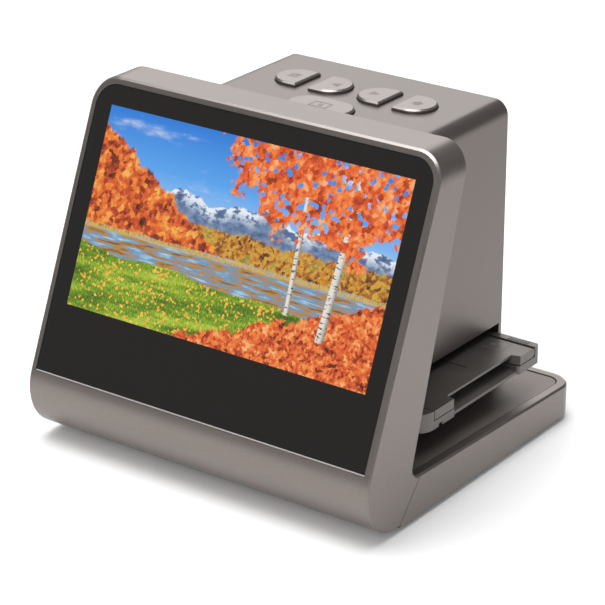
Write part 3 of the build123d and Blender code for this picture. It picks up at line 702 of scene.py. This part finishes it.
def key_paint():
    """The key caps' coat, told from its bevel by height; the bevel carries a painted highlight."""
    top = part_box("scan_button")[1][2]
    paint = Paint("key_paint")
    height = paint.axis("Z")
    bevel = between(height, top - KEY_BEVEL * 0.97, top - KEY_BEVEL * 0.06)
    flake = paint.pick(FLAKE_CELLS)
    coat = paint.mix(flake, shaded(KEY_CASING, 0.93), shaded(KEY_CASING, 1.07))
    return paint.finish({
        # The bevel is given the brighter colour of a painted highlight.
        "Base Color": paint.mix(bevel, coat, EDGE_HIGHLIGHT),
        "Roughness": flake * 0.05 + KEY_ROUGHNESS - bevel * BEVEL_GLOSS,
        "Metallic": CASING_METAL,
    })


key_material = key_paint()
print("key paint", key_material.name)

# %% Lens glass
lens_paint = Paint("lens_glass")
lens_glass = lens_paint.finish({
    "Base Color": lens_paint.ramp(
        lens_paint.noise(60.0), (0.3, (0.06, 0.03, 0.09)), (0.7, (0.02, 0.05, 0.08))
    ),
    "Roughness": 0.04,
    "Coat Weight": 1.0,
})
print("lens glass", lens_glass.name)

# %% [markdown]
# ## Dressing the solids
# Each node keeps its mesh and gets its finish by name.

# %% Finishes by node
FINISHES = {
    "screen_housing": housing_paint,
    "screen_back_cover": casing_paint,
    "base_housing": base_paint,
    "base_top_panel": deck_paint,
    "tower_housing": tower_paint,
    "tower_foot": tower_paint,
    "screen_glass": glass_material,
    "lcd_panel": dark_plastic,
    "lcd_bracket": steel,
    "main_board": board_green,
    "bottom_cover": under_plastic,
    "rubber_feet": rubber,
    "base_screws": steel,
    "button_board": board_green,
    "tact_switches": dark_plastic,
    "usb_socket": steel,
    "video_socket": steel,
    "card_socket": steel,
    "socket_board": board_green,
    "light_box": dark_plastic,
    "diffuser": opal,
    "led_board": board_green,
    "gate_plate": dark_plastic,
    "lens_hood": dark_plastic,
    "camera_bracket": dark_plastic,
    "lens_barrel": dark_plastic,
    "lens": lens_glass,
    "sensor_board": board_green,
    "holder_frame": holder_plastic,
    "holder_lid": holder_plastic,
    "hinge_pins": steel,
}
BUTTONS = ("menu_button", "left_button", "right_button", "home_button", "scan_button")
for button in BUTTONS:
    FINISHES[button] = key_material


def dress(name, material):
    mesh = nodes[name].data
    mesh.materials.clear()
    mesh.materials.append(material)


for node_name, finish in FINISHES.items():
    dress(node_name, finish)
print("dressed", len(FINISHES), "of", len(nodes), "nodes; left:", sorted(set(nodes) - set(FINISHES)))

# %% [markdown]
# ## Signs
# Nothing is lettered. Each key carries a plain sign, a few hundredths of a millimetre proud
# like a pad print, and rides on its own key so that it sinks with it. The holder's lid shows
# which way it goes in: an arrow inside half a frame.

# %% Signs on keys and lid
SIGN_RAISE = 0.04 * MM
SIGN_SINK = 0.02 * MM
KEY_ROW_Y = 25.9
SCAN_KEY_Y = 7.55
INNER_KEY_X = 7.2
OUTER_KEY_X = 23.0
TRIANGLE_TIP, TRIANGLE_BACK, TRIANGLE_HALF = 1.7, 1.2, 1.6
HOUSE_HALF, HOUSE_EAVES, HOUSE_RIDGE = 1.9, 0.1, 1.7
HOUSE_DROP = 0.9
HOUSE_WALLS = (2.4, 1.6)
MENU_STEP = 1.2
DISC_SIDES = 20

sign_paint = grained_plastic("sign_paint", (0.17, 0.155, 0.147), 0.5)


def bar(x, y, length, width):
    half_length, half_width = length / 2, width / 2
    return [
        (x - half_length, y - half_width), (x + half_length, y - half_width),
        (x + half_length, y + half_width), (x - half_length, y + half_width),
    ]


def disc(x, y, radius):
    angles = [2 * pi * step / DISC_SIDES for step in range(DISC_SIDES)]
    return [(x + radius * cos(angle), y + radius * sin(angle)) for angle in angles]


def frame_bars(x, y, length, width, line):
    """Four bars round a rectangle."""
    across, along = (length - line) / 2, (width - line) / 2
    return [
        bar(x, y - along, length, line), bar(x, y + along, length, line),
        bar(x - across, y, line, width - 2 * line), bar(x + across, y, line, width - 2 * line),
    ]


def triangle(x, y, way):
    """A triangle that points to the left where way is -1, and to the right where it is 1."""
    back = x - way * TRIANGLE_BACK
    corners = [(x + way * TRIANGLE_TIP, y), (back, y - TRIANGLE_HALF), (back, y + TRIANGLE_HALF)]
    return corners[::-way]


def house(x, y):
    """A roof over a square body."""
    eaves = y + HOUSE_EAVES
    roof = [(x - HOUSE_HALF, eaves), (x + HOUSE_HALF, eaves), (x, y + HOUSE_RIDGE)]
    return [roof, bar(x, y - HOUSE_DROP, HOUSE_WALLS[0], HOUSE_WALLS[1])]


def plate(bm, outline, low, high):
    """One outline in millimetres made into a thin plate between two heights in metres."""
    bottom = [bm.verts.new((x * MM, y * MM, low)) for x, y in outline]
    top = [bm.verts.new((x * MM, y * MM, high)) for x, y in outline]
    bm.faces.new(top)
    bm.faces.new(bottom[::-1])
    for index in range(len(outline)):
        after = (index + 1) % len(outline)
        bm.faces.new((bottom[index], bottom[after], top[after], top[index]))


def plates(name, outlines, low, high, body, material):
    """Several thin plates as one piece that rides on a body."""
    bm = bmesh.new()
    for outline in outlines:
        plate(bm, outline, low, high)
    mesh = bpy.data.meshes.new(name)
    bm.to_mesh(mesh)
    bm.free()
    mesh.materials.append(material)
    piece = bpy.data.objects.new(name, mesh)
    bpy.context.collection.objects.link(piece)
    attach(piece, body)


menu_steps = (-MENU_STEP, 0.0, MENU_STEP)
KEY_SIGNS = {
    "menu_button": [bar(-OUTER_KEY_X, KEY_ROW_Y + step, 3.6, 0.5) for step in menu_steps],
    "left_button": [triangle(-INNER_KEY_X, KEY_ROW_Y, -1)],
    "right_button": [triangle(INNER_KEY_X, KEY_ROW_Y, 1)],
    "home_button": house(OUTER_KEY_X, KEY_ROW_Y),
    "scan_button": [*frame_bars(0, SCAN_KEY_Y, 6.4, 4.4, 0.45), disc(0, SCAN_KEY_Y, 0.9)],
}
for button, outlines in KEY_SIGNS.items():
    key_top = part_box(button)[1][2]
    plates(
        button.replace("button", "sign"), outlines, key_top - SIGN_SINK, key_top + SIGN_RAISE,
        button, sign_paint,
    )

lid_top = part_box("holder_lid")[1][2]
LID_SIGN = [
    [(44.0, 36.6), (46.2, 35.2), (46.2, 38.0)],
    bar(47.6, 36.6, 2.8, 0.5),
    bar(46.5, 39.6, 7.0, 0.35), bar(46.5, 33.6, 7.0, 0.35), bar(50.2, 36.6, 0.35, 6.35),
]
plates(
    "lid_sign", LID_SIGN, lid_top - SIGN_SINK, lid_top + SIGN_RAISE, "lid", sign_paint,
)
print("signs:", len(KEY_SIGNS) + 1)

# %% [markdown]
# ## Rows of small parts
# Ribs, the painted shade in the screws' cross recesses, and socket contacts are all the same
# idea: one small block on every point of a grid. A single Geometry Nodes group makes them, and
# each piece gives it a centre, a span, the counts and the block's size.


# %% The row group
class Growth:
    """One Geometry Nodes group: its named inputs, its nodes and their links."""

    def __init__(self, name, wanted):
        self.group = bpy.data.node_groups.new(name, "GeometryNodeTree")
        face = self.group.interface
        for label, kind in wanted.items():
            face.new_socket(label, in_out="INPUT", socket_type=kind)
        face.new_socket("Geometry", in_out="OUTPUT", socket_type="NodeSocketGeometry")
        self.start = self.group.nodes.new("NodeGroupInput")

    def given(self, label):
        return self.start.outputs[label]

    def add(self, kind, inputs):
        """A node with its inputs set or linked; what comes back is its first output."""
        node = self.group.nodes.new(kind)
        for key, value in inputs.items():
            if isinstance(value, bpy.types.NodeSocket):
                self.group.links.new(value, node.inputs[key])
            else:
                node.inputs[key].default_value = value
        return node.outputs[0] if node.outputs else node


def row_growth():
    """Blocks on the points of a grid, each one plain or crossed with a turned copy."""
    growth = Growth("rows_of_blocks", {
        "Centre": "NodeSocketVector", "Span X": "NodeSocketFloat", "Span Y": "NodeSocketFloat",
        "Count X": "NodeSocketInt", "Count Y": "NodeSocketInt", "Block": "NodeSocketVector",
        "Crossed": "NodeSocketBool", "Material": "NodeSocketMaterial",
    })
    points = growth.add("GeometryNodeMeshGrid", {
        "Size X": growth.given("Span X"), "Size Y": growth.given("Span Y"),
        "Vertices X": growth.given("Count X"), "Vertices Y": growth.given("Count Y"),
    })
    placed = growth.add(
        "GeometryNodeTransform", {"Geometry": points, "Translation": growth.given("Centre")}
    )
    block = growth.add("GeometryNodeMeshCube", {"Size": growth.given("Block")})
    turned = growth.add("GeometryNodeTransform", {"Geometry": block, "Rotation": (0, 0, pi / 2)})
    cross = growth.group.nodes.new("GeometryNodeJoinGeometry")
    growth.group.links.new(block, cross.inputs[0])
    growth.group.links.new(turned, cross.inputs[0])
    shape = growth.add("GeometryNodeSwitch", {
        "Switch": growth.given("Crossed"), "False": block, "True": cross.outputs[0],
    })
    many = growth.add("GeometryNodeInstanceOnPoints", {"Points": placed, "Instance": shape})
    real = growth.add("GeometryNodeRealizeInstances", {"Geometry": many})
    coloured = growth.add(
        "GeometryNodeSetMaterial", {"Geometry": real, "Material": growth.given("Material")}
    )
    growth.add("NodeGroupOutput", {"Geometry": coloured})
    return growth.group


def grow(name, group, values, body):
    """Run the group with these values and keep the mesh as a piece on a body."""
    host = bpy.data.objects.new(name, bpy.data.meshes.new(name))
    bpy.context.collection.objects.link(host)
    modifier = host.modifiers.new("growth", "NODES")
    modifier.node_group = group
    for item in group.interface.items_tree:
        if item.name in values:
            modifier[item.identifier] = values[item.name]
    ready = host.evaluated_get(bpy.context.evaluated_depsgraph_get())
    mesh = bpy.data.meshes.new_from_object(ready)
    host.modifiers.remove(modifier)
    host.data = mesh
    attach(host, body)


rows = row_growth()
print("row group nodes:", len(rows.nodes))

# %% Rows on the object
contact_gold = brushed_metal("contact_gold", (0.80, 0.60, 0.28), 0.28)
# The screws' cross recesses are thin black crosses: painted shade for the dark inside of each recess.
recess_shade = grained_plastic("recess_shade", (0.012, 0.012, 0.012), 0.7)
UNDER_Z = 1.79
SCREW_SPAN = (103.0, 55.6)
SCREW_MIDDLE_Y = 8.1
RIB_X, RIB_Y, RIB_Z = 50.5, 43.6, 27.06
RIB_SPAN = (6.6, 0)
RIB_BLOCK = (0.5, 1.8, 0.2)
SOCKET_Z = 45.8
SOCKET_PITCH = 22.0
TONGUE_Y = 45.0
CONTACT_Y = 45.2

# name: centre, span, counts, block, crossed, material, body, slot
ROWS = {
    # Thin black crosses on the screw heads: painted shade in the recesses.
    "screw_cross_shade": (
        (0, SCREW_MIDDLE_Y, UNDER_Z), SCREW_SPAN, (2, 2), (2.6, 0.6, 0.04), True,
        recess_shade, "housing", "steel",
    ),
    "rail_ribs_right": (
        (RIB_X, RIB_Y, RIB_Z), RIB_SPAN, (7, 1), RIB_BLOCK, False,
        holder_plastic, "holder", "holder_plastic",
    ),
    "rail_ribs_left": (
        (-RIB_X, RIB_Y, RIB_Z), RIB_SPAN, (7, 1), RIB_BLOCK, False,
        holder_plastic, "holder", "holder_plastic",
    ),
    "usb_tongue": (
        (-SOCKET_PITCH, TONGUE_Y, SOCKET_Z + 0.45), (0, 0), (1, 1), (6.4, 3.6, 0.8), False,
        dark_plastic, "housing", "dark_plastic",
    ),
    "usb_contacts": (
        (-SOCKET_PITCH, CONTACT_Y, SOCKET_Z), (4.4, 0), (5, 1), (0.5, 3.0, 0.12), False,
        contact_gold, "housing", "steel",
    ),
    "video_tongue": (
        (0, TONGUE_Y, SOCKET_Z), (0, 0), (1, 1), (9.0, 3.6, 0.9), False,
        dark_plastic, "housing", "dark_plastic",
    ),
    "video_contacts": (
        (0, CONTACT_Y, SOCKET_Z + 0.45), (7.6, 0), (10, 1), (0.35, 3.0, 0.1), False,
        contact_gold, "housing", "steel",
    ),
    "card_contacts": (
        (SOCKET_PITCH, 44.9, SOCKET_Z - 0.97), (18.4, 0), (9, 1), (1.2, 2.6, 0.12), False,
        contact_gold, "housing", "steel",
    ),
}


def in_metres(values):
    return tuple(value * MM for value in values)


for row_name, (centre, span, count, block, crossed, finish, body, slot_name) in ROWS.items():
    grow(row_name, rows, {
        "Centre": in_metres(centre), "Span X": span[0] * MM, "Span Y": span[1] * MM,
        "Count X": count[0], "Count Y": count[1], "Block": in_metres(block),
        "Crossed": crossed, "Material": finish,
    }, body)
print("rows:", ", ".join(ROWS))
